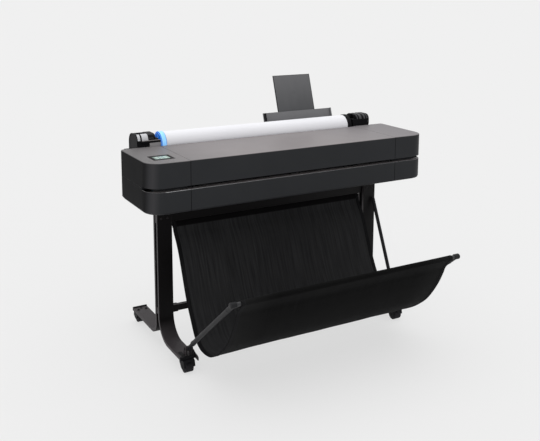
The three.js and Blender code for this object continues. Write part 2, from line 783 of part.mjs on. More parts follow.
// A band of cloth whose middle line follows a curve through the given (y, z) points.
function clothBand(points, steps) {
  const curve = new THREE.SplineCurve(points.map(([y, z]) => new THREE.Vector2(y, z)));
  const near = [];
  const far = [];
  for (let k = 0; k <= steps; k++) {
    const at = curve.getPointAt(k / steps);
    const along = curve.getTangentAt(k / steps);
    const across = new THREE.Vector2(-along.y, along.x).multiplyScalar(fabricThickness / 2);
    near.push(at.clone().add(across));
    far.unshift(at.clone().sub(across));
  }
  const shape = new THREE.Shape([...near, ...far]);
  return alongX(shape, -fabricHalfWidth, fabricHalfWidth);
}

function makeFabric() {
  const split = -60; // the front part of the cloth rides with the arms, the rear part hangs still
  const lowZ = 91;
  const clothTop = [rearBar[0], rearBar[1] - rearBarRadius - fabricThickness];
  const clothEnd = [binBar[0] + 16, binBar[1] - 20];
  const rearLine = [clothTop, [188, 430], [115, 262], [66, 179], [25, 120], [-17, 95]];
  const frontLine = [[-110, 100], [-160, 124], [-212, 160], [-264, 208], [-321, 291], clothEnd];
  const rear = clothBand([...rearLine, [split + 1, lowZ]], 16);
  piece("bin_fabric_rear", binFabric, rear);
  const front = clothBand([[split - 1, lowZ], ...frontLine], 16);
  piece("bin_fabric_front", binFabric, front);
}

// ---- assembly -----------------------------------------------------------------------------
makeUpperCovers();
makeLowerCovers();
makeScreen();
makeRearHousing();
makeHolders();
makeRoll();
makeFeeder();
makePaperPath();
makeBaseTray();
makeChassis();
makeCarriage();
makeBelt();
makeMotor();
makeInks();
makeElectronics();
makeLegs();
makeCaster("front_left_caster", -legX, frontSwivelY, -1);
makeCaster("front_right_caster", legX, frontSwivelY, -1);
makeCaster("rear_left_caster", -legX, rearSwivelY, 1);
makeCaster("rear_right_caster", legX, rearSwivelY, 1);
makeBin();
makeFabric();

// The origin is on the floor under the middle of the whole object.
const extents = new THREE.Box3().setFromObject(model);
model.position.set(0, -(extents.min.y + extents.max.y) / 2, -extents.min.z);

export default model;
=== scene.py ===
# Looks for the large format plotter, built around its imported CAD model.
# Metres, in the CAD model's own frame: +X to the user's right, front towards -Y, +Z up.
import json
import math

import bmesh
import bpy
from mathutils import Matrix, Vector, noise


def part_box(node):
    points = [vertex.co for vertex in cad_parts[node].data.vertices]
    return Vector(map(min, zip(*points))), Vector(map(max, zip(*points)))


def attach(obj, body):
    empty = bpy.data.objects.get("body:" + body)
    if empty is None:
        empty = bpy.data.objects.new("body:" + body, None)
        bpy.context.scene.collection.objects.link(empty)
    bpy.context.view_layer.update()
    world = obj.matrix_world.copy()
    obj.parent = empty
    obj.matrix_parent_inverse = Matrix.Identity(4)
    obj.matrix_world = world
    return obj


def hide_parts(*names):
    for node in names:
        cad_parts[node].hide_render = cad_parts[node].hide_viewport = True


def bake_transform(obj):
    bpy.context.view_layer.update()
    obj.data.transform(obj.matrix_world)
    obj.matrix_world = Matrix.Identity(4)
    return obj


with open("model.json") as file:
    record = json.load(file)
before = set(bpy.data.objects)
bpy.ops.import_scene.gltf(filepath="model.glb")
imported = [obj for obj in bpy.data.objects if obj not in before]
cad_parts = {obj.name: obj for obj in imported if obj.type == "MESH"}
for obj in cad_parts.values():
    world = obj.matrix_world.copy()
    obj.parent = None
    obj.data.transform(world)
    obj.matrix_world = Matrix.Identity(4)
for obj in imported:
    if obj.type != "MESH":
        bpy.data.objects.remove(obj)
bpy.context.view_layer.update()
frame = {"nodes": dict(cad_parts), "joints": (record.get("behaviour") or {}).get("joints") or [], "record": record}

nodes = frame["nodes"]
MM = 0.001
X_AXIS = Vector((1, 0, 0))
FOOT_TOP = 66 * MM  # upper face of the feet
LEG_FACE_Y = 134.9 * MM  # front face of the legs' upright part
COVER_CORNER = 66 * MM  # plan radius of the covers' front corners
CLOTH_FLARE = 8 * MM  # the cloth is this much wider at each side near the front bar
PLASTIC_GRAIN = 0.5 * MM
PAINT_PEEL = 1.6 * MM
CREASE_DEG = 32
SEAM_X = 0.489  # where the end covers meet the middle ones, on both sides


# ---- colours and node helpers ---------------------------------------------------------------
def srgb(red, green, blue):
    """An 8-bit sRGB colour as linear light."""

    def linear(value):
        value /= 255
        return value / 12.92 if value <= 0.04045 else ((value + 0.055) / 1.055) ** 2.4

    return (linear(red), linear(green), linear(blue), 1)


def scaled(colour, by):
    return tuple(min(1, c * by) for c in colour[:3]) + (1,)


class Look:
    """A procedural material: its Principled shader, and short calls that add nodes."""

    def __init__(self, name, **inputs):
        self.material = bpy.data.materials.new(name)
        self.material.use_nodes = True
        self.tree = self.material.node_tree
        self.shader = self.tree.nodes["Principled BSDF"]
        coordinates = self.node("ShaderNodeTexCoord")
        self.place = coordinates.outputs["Object"]
        self.facing = coordinates.outputs["Normal"]
        self.uv = coordinates.outputs["UV"]
        self.set(**inputs)

    def feed(self, socket, value):
        if isinstance(value, bpy.types.NodeSocket):
            self.tree.links.new(value, socket)
        else:
            socket.default_value = value

    def node(self, kind, inputs=None, **settings):
        made = self.tree.nodes.new(kind)
        for key, value in settings.items():
            setattr(made, key, value)
        for key, value in (inputs or {}).items():
            self.feed(made.inputs[key], value)
        return made

    def set(self, **inputs):
        for key, value in inputs.items():
            self.feed(self.shader.inputs[key.replace("_", " ").title().replace("Ior", "IOR")], value)
        return self

    def axis(self, vector, which):
        return self.node("ShaderNodeSeparateXYZ", {0: vector}).outputs[which]

    def noise(self, scale, detail=3, stretch=(1, 1, 1), at=None):
        spot = self.node("ShaderNodeMapping", {"Vector": at or self.place, "Scale": stretch})
        inputs = {"Vector": spot.outputs[0], "Scale": scale, "Detail": detail}
        return self.node("ShaderNodeTexNoise", inputs).outputs["Fac"]

    def span(self, value, low, high, to_low=0, to_high=1):
        inputs = {"Value": value, "From Min": low, "From Max": high}
        inputs.update({"To Min": to_low, "To Max": to_high})
        return self.node("ShaderNodeMapRange", inputs).outputs["Result"]

    def math(self, operation, a, b=0.0):
        return self.node("ShaderNodeMath", {0: a, 1: b}, operation=operation).outputs[0]

    def mix(self, share, a, b):
        made = self.node("ShaderNodeMix", {0: share, 6: a, 7: b}, data_type="RGBA")
        return made.outputs[2]

    def bump(self, height, distance, strength=1.0):
        inputs = {"Height": height, "Distance": distance, "Strength": strength}
        self.set(normal=self.node("ShaderNodeBump", inputs).outputs["Normal"])
        return self

    def edges(self, radius):
        """Near 1 on rounded edges and corners, 0 on flat faces."""
        soft = self.node("ShaderNodeBevel", {"Radius": radius}, samples=4).outputs[0]
        hard = self.node("ShaderNodeNewGeometry").outputs["Normal"]
        same = self.node("ShaderNodeVectorMath", {0: soft, 1: hard}, operation="DOT_PRODUCT")
        return self.span(same.outputs["Value"], 0.99, 0.8)

    def mottled(self, colour, scale=6, amount=0.06):
        return self.mix(self.noise(scale), scaled(colour, 1 - amount), scaled(colour, 1 + amount))


# ---- materials ------------------------------------------------------------------------------
def moulded(name, colour, roughness=0.45, specular=0.25):
    """Moulded plastic: fine eroded grain, faint flow marks, and edges painted lighter, partly as rubbing and
    partly as a painted highlight.
    """
    look = Look(name, specular_ior_level=specular)
    # Edges painted lighter: partly rubbed wear, partly a painted highlight.
    rubbed_and_lit_edges = look.math("MULTIPLY", look.edges(1.2 * MM), 0.35)
    base = look.mix(rubbed_and_lit_edges, look.mottled(colour), scaled(colour, 1.9))
    wave = look.span(look.noise(9), 0, 1, roughness - 0.05, roughness + 0.06)
    look.set(base_color=base, roughness=wave)
    look.bump(look.noise(1 / PLASTIC_GRAIN, 2), 0.04 * MM)
    return look


def shell_look():
    """Body covers: charcoal walls with painted shade on the side faces, a painted highlight down the front corners
    and painted light on the bevels underneath; the faces that look up carry a taupe satin that is painted light;
    the seams carry painted shade.
    """
    look = Look("shell_plastic")
    across = look.axis(look.place, "X")
    # Painted light: faces that look up get a pale taupe, darkest at the far left end and a little darker to the
    # right, for how light falls on the dark top.
    up = look.span(look.axis(look.facing, "Z"), 0.45, 0.93)
    left_end = look.mix(look.span(across, -0.66, -0.30), srgb(97, 95, 96), srgb(134, 128, 129))
    lit_top_tone = look.mix(look.span(across, 0.20, 0.62), left_end, srgb(117, 113, 116))
    drift = look.noise(1.6, 2, (1, 2.5, 2.5))
    lit_top_tone = look.mix(look.span(drift, 0.3, 0.7, 0, 0.25), lit_top_tone, srgb(122, 120, 121))
    # Edges lighter: partly rubbed wear, partly a painted highlight.
    rubbed_and_lit_edges = look.math("MULTIPLY", look.edges(1.5 * MM), 0.3)
    sideways = look.math("ABSOLUTE", look.axis(look.facing, "X"))
    # Painted shade: faces that look sideways are darker.
    side_on = look.span(sideways, 0.8, 0.98)
    charcoal = look.mix(look.noise(5), srgb(42, 43, 45), srgb(49, 50, 52))
    charcoal = look.mix(side_on, charcoal, srgb(27, 27, 28))
    # Painted highlight: a lighter band down the rounded front corners, where faces turn from front to side.
    corner_highlight = look.span(look.math("ABSOLUTE", look.math("SUBTRACT", sideways, 0.66)), 0, 0.34, 1, 0)
    charcoal = look.mix(look.math("MULTIPLY", corner_highlight, 0.8), charcoal, srgb(62, 61, 63))
    # Painted light: faces that look down, on the bottom bevel, are lighter, most of all where they also face
    # sideways.
    under = look.span(look.axis(look.facing, "Z"), -0.9, -0.25, 1, 0)
    bevel = look.mix(sideways, srgb(46, 46, 48), srgb(100, 100, 100))
    charcoal = look.mix(under, charcoal, bevel)
    walls = look.mix(rubbed_and_lit_edges, charcoal, srgb(74, 74, 76))
    # Painted shade in the gaps where the end covers meet the middle ones, paler on the faces that look up.
    seam = look.math("ABSOLUTE", look.math("SUBTRACT", look.math("ABSOLUTE", across), SEAM_X))
    gap = look.span(seam, 0.7 * MM, 1.5 * MM, 1, 0)
    painted_shell = look.mix(up, walls, lit_top_tone)
    seam_shade = look.mix(up, srgb(12, 12, 13), srgb(98, 94, 95))
    look.set(base_color=look.mix(gap, painted_shell, seam_shade))
    look.set(roughness=look.span(look.noise(12), 0, 1, 0.42, 0.52))
    gloss = look.math("SUBTRACT", look.span(up, 0, 1, 0.05, 0.22), look.math("MULTIPLY", side_on, 0.04))
    look.set(specular_ior_level=gloss)
    look.bump(look.noise(1 / (0.6 * MM), 2), 0.03 * MM)
    return look


def feeder_look(name, part, low_tone, high_tone):
    """Sheet feeder: grey plastic that is paler towards its top edge."""
    look = Look(name, specular_ior_level=0.25, roughness=0.5)
    low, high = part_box(part)
    rise = look.span(look.axis(look.place, "Z"), low.z, high.z)
    grey = look.mix(rise, low_tone, high_tone)
    streaks = look.noise(14, 2, (1, 1, 0.08))
    grey = look.mix(look.span(streaks, 0.3, 0.7, 0, 0.18), grey, srgb(118, 118, 120))
    look.set(base_color=look.mix(look.math("MULTIPLY", look.edges(1 * MM), 0.5), grey, srgb(40, 40, 42)))
    look.bump(look.noise(1 / PLASTIC_GRAIN, 2), 0.03 * MM)
    return look


def blue_look():
    """Blue hub: deep on its face, and pale where light comes through the rim; the whole hub glows faintly as
    painted light coming through the plastic.
    """
    look = Look("blue_plastic", specular_ior_level=0.06, roughness=0.35)
    along = look.math("ABSOLUTE", look.axis(look.facing, "X"))
    rim = look.mix(look.noise(40), srgb(110, 184, 250), srgb(176, 220, 253))
    face = look.mix(look.noise(40), srgb(0, 84, 190), srgb(20, 124, 232))
    blue = look.mix(look.span(along, 0.35, 0.8), rim, face)
    # Painted light: the hub glows in its own colour, for light coming through the plastic.
    look.set(base_color=blue, emission_color=blue, emission_strength=0.35)
    look.bump(look.noise(900, 1), 0.02 * MM)
    return look


def gloss_look(name, colour):
    """Polished moulding of an ink cartridge, with uneven gloss."""
    look = Look(name, specular_ior_level=0.6, base_color=colour)
    look.set(roughness=look.span(look.noise(30, 4), 0.35, 0.7, 0.06, 0.2))
    return look


def screen_look():
    """Lit display: a pale green page with a darker bar."""
    look = Look("screen_glass", roughness=0.12, specular_ior_level=0.6)
    low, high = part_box("touch_screen")
    across = look.span(look.axis(look.place, "X"), low.x, high.x)
    bar = look.math("LESS_THAN", look.math("ABSOLUTE", look.math("SUBTRACT", across, 0.5)), 0.03)
    page = look.mix(across, srgb(70, 104, 92), srgb(104, 140, 126))
    page = look.mix(look.math("MULTIPLY", bar, 0.7), page, srgb(50, 80, 70))
    look.set(base_color=page, emission_color=page, emission_strength=0.15)
    return look


def painted(name, colour, roughness, specular, rubbed_and_lit_edge_tone):
    """Powder coat: orange peel, and edges painted to a lighter tone, partly as thinned paint and partly as a
    painted highlight.
    """
    look = Look(name, specular_ior_level=specular)
    # Edges lighter: partly thinned paint, partly a painted highlight.
    rubbed_and_lit_edges = look.math("MULTIPLY", look.edges(1.6 * MM), look.span(look.noise(60), 0.3, 0.7, 0.4, 1))
    look.set(base_color=look.mix(rubbed_and_lit_edges, look.mottled(colour, 8, 0.12), rubbed_and_lit_edge_tone))
    look.set(roughness=look.span(look.noise(25), 0, 1, roughness - 0.06, roughness + 0.08))
    look.bump(look.noise(1 / PAINT_PEEL, 2), 0.05 * MM)
    return look


def stand_look():
    """Satin black stand: sides and upper faces carry a painted reflection that is paler than the front, and edges
    are painted lighter, partly as rubbed paint and partly as a painted highlight.
    """
    look = Look("stand_paint", specular_ior_level=0.12)
    # Painted reflection: faces that look sideways or up are paler than the front, as if they reflected the bright
    # room.
    sideways = look.math("ABSOLUTE", look.axis(look.facing, "X"))
    upward = look.axis(look.facing, "Z")
    painted_reflection = look.span(look.math("MAXIMUM", sideways, upward), 0.25, 0.95)
    painted_reflection = look.math("MULTIPLY", painted_reflection, look.span(look.noise(4, 2), 0.3, 0.7, 0.8, 1))
    tone = look.mix(painted_reflection, look.mottled(srgb(10, 8, 9), 8, 0.12), srgb(59, 55, 57))
    # Edges lighter: partly rubbed paint, partly a painted highlight.
    rubbed_and_lit_edges = look.math("MULTIPLY", look.edges(1.6 * MM), look.span(look.noise(60), 0.3, 0.7, 0.3, 0.8))
    look.set(base_color=look.mix(rubbed_and_lit_edges, tone, srgb(80, 76, 78)))
    look.set(roughness=look.span(look.noise(25), 0, 1, 0.38, 0.52))
    look.bump(look.noise(1 / PAINT_PEEL, 2), 0.05 * MM)
    return look


def lip_highlight_look():
    """Polished lip of the lower covers, pale all along as a painted highlight that is brightest near the left
    corner.
    """
    look = Look("lip_painted_highlight", roughness=0.3, specular_ior_level=0.3)
    # Painted highlight: pale near the left corner, fading towards the right.
    across = look.axis(look.place, "X")
    left = look.mix(look.span(across, -0.60, -0.42), srgb(196, 196, 198), srgb(136, 136, 138))
    tone = look.mix(look.span(across, -0.42, 0.45), left, srgb(80, 80, 82))
    look.set(base_color=look.mix(look.span(look.noise(90), 0.3, 0.7, 0, 0.3), tone, srgb(70, 70, 72)))
    look.bump(look.noise(1500, 2), 0.02 * MM)
    return look


def steel_look(name, colour):
    """Zinc-plated steel with fine drawn lines along X."""
    look = Look(name, metallic=0.9)
    lines = look.noise(18, 3, (1, 60, 60))
    look.set(base_color=look.mix(lines, scaled(colour, 0.85), scaled(colour, 1.1)))
    look.set(roughness=look.span(lines, 0, 1, 0.30, 0.50))
    look.bump(lines, 0.02 * MM)
    return look


def rubber_look(name, colour):
    """Matt rubber with a pitted surface."""
    look = Look(name, roughness=0.8, specular_ior_level=0.2)
    look.set(base_color=look.mottled(colour, 40, 0.2))
    look.bump(look.noise(1400, 3), 0.06 * MM)
    return look


def paper_look():
    """Plotter paper: matt white, with the wound layers showing as rings on the roll's ends."""
    look = Look("plotter_paper", roughness=0.85, specular_ior_level=0.15)
    low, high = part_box("paper_roll")
    middle = (low + high) / 2
    parts = [look.axis(look.place, a) for a in "YZ"]
    squares = [
        look.math("POWER", look.math("SUBTRACT", part, centre), 2)
        for part, centre in zip(parts, (middle.y, middle.z))
    ]
    radius = look.math("SQRT", look.math("ADD", *squares))
    rings = look.math("SINE", look.math("MULTIPLY", radius, 2 * math.pi / (0.9 * MM)))
    loose = look.noise(220, 2, at=look.node("ShaderNodeCombineXYZ", {0: radius}).outputs[0])
    end = look.span(look.math("ABSOLUTE", look.axis(look.facing, "X")), 0.5, 0.9)
    layers = look.math("MULTIPLY", look.span(look.math("ADD", rings, loose), -1, 2), end)
    white = look.mix(look.noise(3, 2), srgb(236, 236, 239), srgb(228, 228, 233))
    look.set(base_color=look.mix(look.math("MULTIPLY", layers, 0.35), white, srgb(170, 168, 166)))
    look.bump(layers, 0.2 * MM)
    return look


def cloth_look(name, colour, paler, banded=False, ends=False):
    """Plain woven polyester: two sets of threads and slubs along the warp.

    A banded cloth is darker round and under the rear bar, as painted shade; with ends, the cloth is
    lighter towards both sides, as painted light coming through it.
    """
    look = Look(name, roughness=0.9, specular_ior_level=0.06, sheen_weight=0.02)
    look.set(sheen_roughness=0.6, sheen_tint=srgb(150, 150, 155))
    thread = 2 * math.pi / (1.5 * MM)
    warp = look.math("SINE", look.math("MULTIPLY", look.axis(look.uv, "X"), thread))
    weft = look.math("SINE", look.math("MULTIPLY", look.axis(look.uv, "Y"), thread))
    weave = look.span(look.math("MULTIPLY", warp, weft), -1, 1)
    slubs = look.noise(150, 3, (1, 0.035, 1), look.uv)
    broad = look.noise(5, 2, (1, 0.4, 1), look.uv)
    tone = look.math("MULTIPLY", look.span(slubs, 0.35, 0.65), look.span(broad, 0.2, 0.8, 0.4, 1))
    base = look.mix(tone, colour, paler)
    base = look.mix(look.math("MULTIPLY", weave, 0.35), base, scaled(colour, 0.55))
    if banded:
        # Painted shade: the cloth is darker round and under the rear bar.
        rear_bar_shade = look.span(look.axis(look.uv, "Y"), 78 * MM, 81 * MM, 1, 0)
        base = look.mix(rear_bar_shade, base, srgb(11, 10, 11))
    if ends:
        across = look.axis(look.uv, "X")
        # Painted light: the cloth is lighter towards both sides, as if light came through it.
        side_light = look.span(look.math("ABSOLUTE", across), 0.33, 0.46)
        base = look.mix(look.math("MULTIPLY", side_light, 0.7), base, srgb(28, 28, 28))
    look.set(base_color=base)
    look.bump(look.math("ADD", weave, look.math("MULTIPLY", slubs, 0.6)), 0.25 * MM)
    return look


def board_look():
    """Green circuit board crossed by paler tracks."""
    look = Look("circuit_board", roughness=0.4, specular_ior_level=0.4)
    tracks = look.node("ShaderNodeTexBrick", {"Vector": look.place, "Scale": 90})
    share = look.span(tracks.outputs["Fac"], 0, 1, 0.05, 0.8)
    look.set(base_color=look.mix(share, srgb(20, 84, 48), srgb(48, 128, 76)))
    return look


LOOKS = {
    "shell": shell_look(),
    "dark_plastic": moulded("dark_plastic", srgb(18, 18, 20), 0.5, 0.07),
    "feeder_plastic": feeder_look("feeder_plastic", "feeder_tray", srgb(88, 88, 90), srgb(112, 112, 114)),
    "grey_plastic": moulded("grey_plastic", srgb(196, 197, 200), 0.45, 0.3),
    "blue_plastic": blue_look(),
    "bezel": moulded("bezel_plastic", srgb(30, 27, 28), 0.4, 0.02),
    "screen": screen_look(),
    "stand_paint": stand_look(),
    "bar_paint": painted("bar_paint", srgb(31, 31, 33), 0.4, 0.12, srgb(80, 80, 82)),
    "zinc_steel": steel_look("zinc_steel", srgb(168, 170, 174)),
    "rubber": rubber_look("roller_rubber", srgb(30, 30, 31)),
    "tread": rubber_look("caster_tread", srgb(24, 23, 26)),
    "paper": paper_look(),
    # The cloth's inside: a lighter copy of the same black cloth, as painted light.
    "bin_cloth": cloth_look("bin_cloth", srgb(37, 37, 38), srgb(55, 55, 56), banded=True),
    "board": board_look(),
    "ink_black": gloss_look("ink_black", srgb(20, 20, 22)),
    "ink_cyan": gloss_look("ink_cyan", srgb(20, 130, 185)),
    "ink_magenta": gloss_look("ink_magenta", srgb(176, 36, 104)),
    "ink_yellow": gloss_look("ink_yellow", srgb(216, 180, 30)),
}
# The front bar's paint: a lighter copy of the bar paint with paler edges, as a painted highlight.
BAR_PAINT_LIT = painted("bar_paint_lit", srgb(44, 44, 46), 0.3, 0.3, srgb(100, 100, 102))
PANEL = feeder_look("feeder_panel", "feeder_extension", srgb(68, 69, 71), srgb(100, 100, 102))
# Painted shade: the cloth's outside is a darker copy of the same cloth.
CLOTH_OUTSIDE_SHADE = cloth_look("bin_cloth_outside_shaded", srgb(7, 7, 7), srgb(17, 17, 17), ends=True)
HEM = cloth_look("hem_webbing", srgb(20, 20, 21), srgb(34, 34, 35))
LIP_HIGHLIGHT = lip_highlight_look()
# Painted highlight: the holders' ribs are a lighter copy of the dark plastic around them.
RIB_HIGHLIGHT = moulded("rib_painted_highlight", srgb(70, 70, 72), 0.35, 0.15)


# ---- mesh helpers ---------------------------------------------------------------------------
def finish(obj, split_deg=CREASE_DEG, bevel=0.0, weld=False):
    """Smooth faces, rounded edges where asked, and creases kept where faces meet sharply."""
    for face in obj.data.polygons:
        face.use_smooth = True
    if weld:
        obj.modifiers.new("weld", "WELD").merge_threshold = 0.01 * MM
    if bevel:
        rounding = obj.modifiers.new("rounding", "BEVEL")
        rounding.width = bevel
        rounding.segments = 2
        rounding.limit_method = "ANGLE"
        rounding.angle_limit = math.radians(40)
    obj.modifiers.new("creases", "EDGE_SPLIT").split_angle = math.radians(split_deg)
    obj.modifiers.new("flat_faces", "WEIGHTED_NORMAL").weight = 80
    return obj


def new_object(name, bm, look):
    """Turns a bmesh into an object with one material."""
    mesh = bpy.data.meshes.new(name)
    bmesh.ops.recalc_face_normals(bm, faces=bm.faces)
    bm.to_mesh(mesh)
    bm.free()
    mesh.materials.append(look.material)
    obj = bpy.data.objects.new(name, mesh)
    bpy.context.scene.collection.objects.link(obj)
    return obj


def piece(name, bm, slot, body="root", look=None):
    """A finished detail that rides on a body."""
    obj = finish(new_object(name, bm, look or LOOKS[slot]))
    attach(obj, body)
    return obj


def rounded_box(bm, low, high, radius, segments=2):
    """Adds a block between two corners, with every edge rounded."""
    low, high = Vector(low), Vector(high)
    size = high - low
    made = bmesh.ops.create_cube(bm, size=1)["verts"]
    bmesh.ops.scale(bm, vec=size, verts=made)
    bmesh.ops.translate(bm, vec=(low + high) / 2, verts=made)
    edges = list({edge for vert in made for edge in vert.link_edges})
    radius = min(radius, min(size) * 0.45)
    bmesh.ops.bevel(
        bm, geom=edges, offset=radius, segments=segments, affect="EDGES", profile=0.5
    )


def block(name, low, high, radius, slot, body="root", look=None):
    """A detail that is one rounded block."""
    bm = bmesh.new()
    rounded_box(bm, low, high, radius)
    piece(name, bm, slot, body, look)


def turned(bm, profile, centre, axis=X_AXIS, steps=32):
    """A closed turned form: profile points are (along the axis, radius)."""
    axis = Vector(axis).normalized()
    side = axis.orthogonal().normalized()
    other = axis.cross(side)
    centre = Vector(centre)
    rings = []
    for k in range(steps):
        angle = 2 * math.pi * k / steps
        out = side * math.cos(angle) + other * math.sin(angle)
        rings.append([bm.verts.new(centre + axis * a + out * r) for a, r in profile])
    count = len(profile)
    for k in range(steps):
        here, there = rings[k], rings[(k + 1) % steps]
        for i in range(count):
            j = (i + 1) % count
            bm.faces.new((here[i], here[j], there[j], there[i]))


def disc_profile(reach, radius, round_by):
    """Half section of a disc whose outer rim is rounded, closed with a tiny hole on the axis."""
    hole = 0.05 * MM
    return [
        (0, hole),
        (0, radius),
        (reach - round_by, radius),
        (reach - round_by * 0.3, radius - round_by * 0.3),
        (reach, radius - round_by),
        (reach, hole),
    ]


def ring_profile(low, high, inner, outer, round_by):
    """Half section of a ring whose two outer edges are rounded."""
    return [
        (low, inner),
        (low, outer - round_by),
        (low + round_by, outer),
        (high - round_by, outer),
        (high, outer - round_by),
        (high, inner),
    ]


def prism(bm, outline, x0, x1):
    """A closed outline in (y, z), pulled along X."""
    near = [bm.verts.new((x0, y, z)) for y, z in outline]
    far = [bm.verts.new((x1, y, z)) for y, z in outline]
    bm.faces.new(near)
    bm.faces.new(far[::-1])
    for i in range(len(outline)):
        j = (i + 1) % len(outline)
        bm.faces.new((near[i], near[j], far[j], far[i]))


def screws(name, places, out, slot="dark_plastic", radius=4 * MM):
    """Button-head screws with a round socket, heads facing out."""
    height, socket = radius * 0.55, radius * 0.42
    sunk, hole = -0.2 * MM, 0.05 * MM
    profile = [
        (sunk, hole),
        (sunk, radius),
        (height * 0.45, radius * 0.93),
        (height, radius * 0.55),
        (height, socket),
        (height * 0.3, socket),
        (height * 0.3, hole),
    ]
    bm = bmesh.new()
    for place in places:
        turned(bm, profile, place, out, 18)
    piece(name, bm, slot)


# ---- body details ---------------------------------------------------------------------------
def dress_cad_nodes():
    """Gives every CAD node its material and shading; stand and feeder edges are rounded."""
    rounded = {
        "left_leg_front": 1.2, "right_leg_front": 1.2, "left_leg_rear": 1.2, "right_leg_rear": 1.2,
        "upper_beam": 1.5, "lower_crossbar": 2.0, "feeder_tray": 0.25, "feeder_extension": 1.2,
        "rear_housing": 0.8, "left_roll_holder": 1.5, "right_roll_holder": 1.5, "roll_latch": 1.2,
        "left_roll_hub": 2.5, "right_roll_hub": 2.5, "power_inlet": 0.6, "screen_bezel": 0.3,
        "print_carriage": 1.5, "service_station": 1.5, "power_supply": 1.5, "power_button": 0.8,
    }
    covers = {"left_end_cover", "right_end_cover", "top_cover", "ink_door", "left_lower_cover"}
    covers |= {"right_lower_cover", "lower_front_panel"}
    for part in frame["record"]["subparts"]:
        name = part["node"]
        obj = nodes[name]
        obj.data.materials.clear()
        obj.data.materials.append(LOOKS[part["material_slot"]].material)
        split = 50 if name in covers else CREASE_DEG
        bevel = rounded.get(name, 0) * MM
        if name.endswith(("_wheel", "_fork")):
            bevel = 1.2 * MM
        finish(obj, split, bevel, weld=True)
    for name, look in (("bin_front_bar", BAR_PAINT_LIT), ("feeder_extension", PANEL)):
        nodes[name].data.materials.clear()
        nodes[name].data.materials.append(look.material)


def slot_lip_highlights():
    """The strip along the top front edge of the lower section, one length on each cover, pale as a painted
    highlight.
    """
    covers = (
        ("ink_door", "door", COVER_CORNER, 0),
        ("lower_front_panel", "root", 0, 0),
        ("right_lower_cover", "root", 0, COVER_CORNER),
    )
    panel_low, panel_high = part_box("lower_front_panel")
    for name, body, from_left, from_right in covers:
        x0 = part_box(name)[0].x + from_left
        x1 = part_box(name)[1].x - from_right
        low = (x0 + 0.3 * MM, panel_low.y - 0.2 * MM, panel_high.z - 1.2 * MM)
        high = (x1 - 0.3 * MM, panel_low.y + 2.2 * MM, panel_high.z + 0.2 * MM)
        # Each strip carries the painted highlight look of the lip.
        block(name + "_lip_highlight", low, high, 0.5 * MM, "grey_plastic", body, LIP_HIGHLIGHT)


def screen_tiles():
    """Plain tiles on the display's page."""
    low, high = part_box("touch_screen")
    bm = bmesh.new()
    width, depth = high.x - low.x, high.y - low.y
    for column in range(3):
        for row in range(2):
            x = low.x + width * (0.12 + 0.28 * column)
            y = low.y + depth * (0.14 + 0.42 * row)
            spot = (x, y, high.z - 0.02 * MM)
            rounded_box(bm, spot, (x + width * 0.17, y + depth * 0.22, high.z + 0.12 * MM), 1.2 * MM)
    look = Look("screen_tiles", roughness=0.3, emission_strength=0.2)
    paint = look.mix(look.noise(60), srgb(196, 208, 202), srgb(150, 176, 165))
    look.set(base_color=paint, emission_color=paint)
    piece("screen_tiles", bm, "screen", look=look)


def vent_ribs(low, back):
    """Two groups of upright ribs on the back."""
    bm = bmesh.new()
    for side in (-1, 1):
        for k in range(9):
            x = side * 0.33 + (k - 4) * 22 * MM
            start = (x - 3 * MM, back - 1 * MM, low.z + 0.035)
            rounded_box(bm, start, (x + 3 * MM, back + 1.6 * MM, low.z + 0.095), 1.4 * MM)
    piece("rear_vent_ribs", bm, "dark_plastic")


def ports(low, back):
    """A steel plate with four framed sockets."""
    plate_end = (0.54, back + 1.2 * MM, low.z + 0.066)
    block("port_plate", (0.42, back - 1 * MM, low.z + 0.030), plate_end, 2 * MM, "zinc_steel")
    bm = bmesh.new()
    z = low.z + 0.048
    frame_sides = (
        ((-1, -1), (1, -0.8)),
        ((-1, 0.8), (1, 1)),
        ((-1, -1), (-0.85, 1)),
        ((0.85, -1), (1, 1)),
    )
    for x, width in ((0.435, 15), (0.462, 15), (0.489, 13), (0.512, 13)):
        half = width / 2 * MM
        for a, b in frame_sides:
            start = (x + half * a[0], back + 0.8 * MM, z + 7 * MM * a[1])
            end = (x + half * b[0], back + 2.4 * MM, z + 7 * MM * b[1])
            rounded_box(bm, start, end, 0.3 * MM)
        start = (x - half * 0.5, back + 0.9 * MM, z - 1.5 * MM)
        rounded_box(bm, start, (x + half * 0.5, back + 2.0 * MM, z + 1.5 * MM), 0.4 * MM)
    piece("port_sockets", bm, "bezel")


def rating_plate(low, back):
    """A blank plate with faint ruled marks and no text."""
    plate = Look("rating_plate", roughness=0.35, specular_ior_level=0.3)
    lines = plate.math("SINE", plate.math("MULTIPLY", plate.axis(plate.place, "Z"), 900))
    broken = plate.span(plate.noise(260), 0.45, 0.55)
    marks = plate.math("MULTIPLY", plate.span(lines, 0.1, 0.5), broken)
    plate.set(base_color=plate.mix(marks, srgb(196, 197, 199), srgb(150, 150, 152)))
    start = (-0.40, back - 0.5 * MM, low.z + 0.105)
    end = (-0.30, back + 0.5 * MM, low.z + 0.140)
    block("rating_plate", start, end, 0.4 * MM, "grey_plastic", look=plate)


def rear_details():
    """Vents, sockets, a blank rating plate and screws on the back of the housing."""
    low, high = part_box("rear_housing")
    back = high.y
    vent_ribs(low, back)
    ports(low, back)
    rating_plate(low, back)
    edge = 20 * MM
    places = [
        (x, back, z)
        for x in (low.x + edge, low.x / 2, 0, high.x / 2, high.x - edge)
        for z in (low.z + 0.026, high.z - 0.012)
    ]
    screws("housing_screws", places, (0, 1, 0))


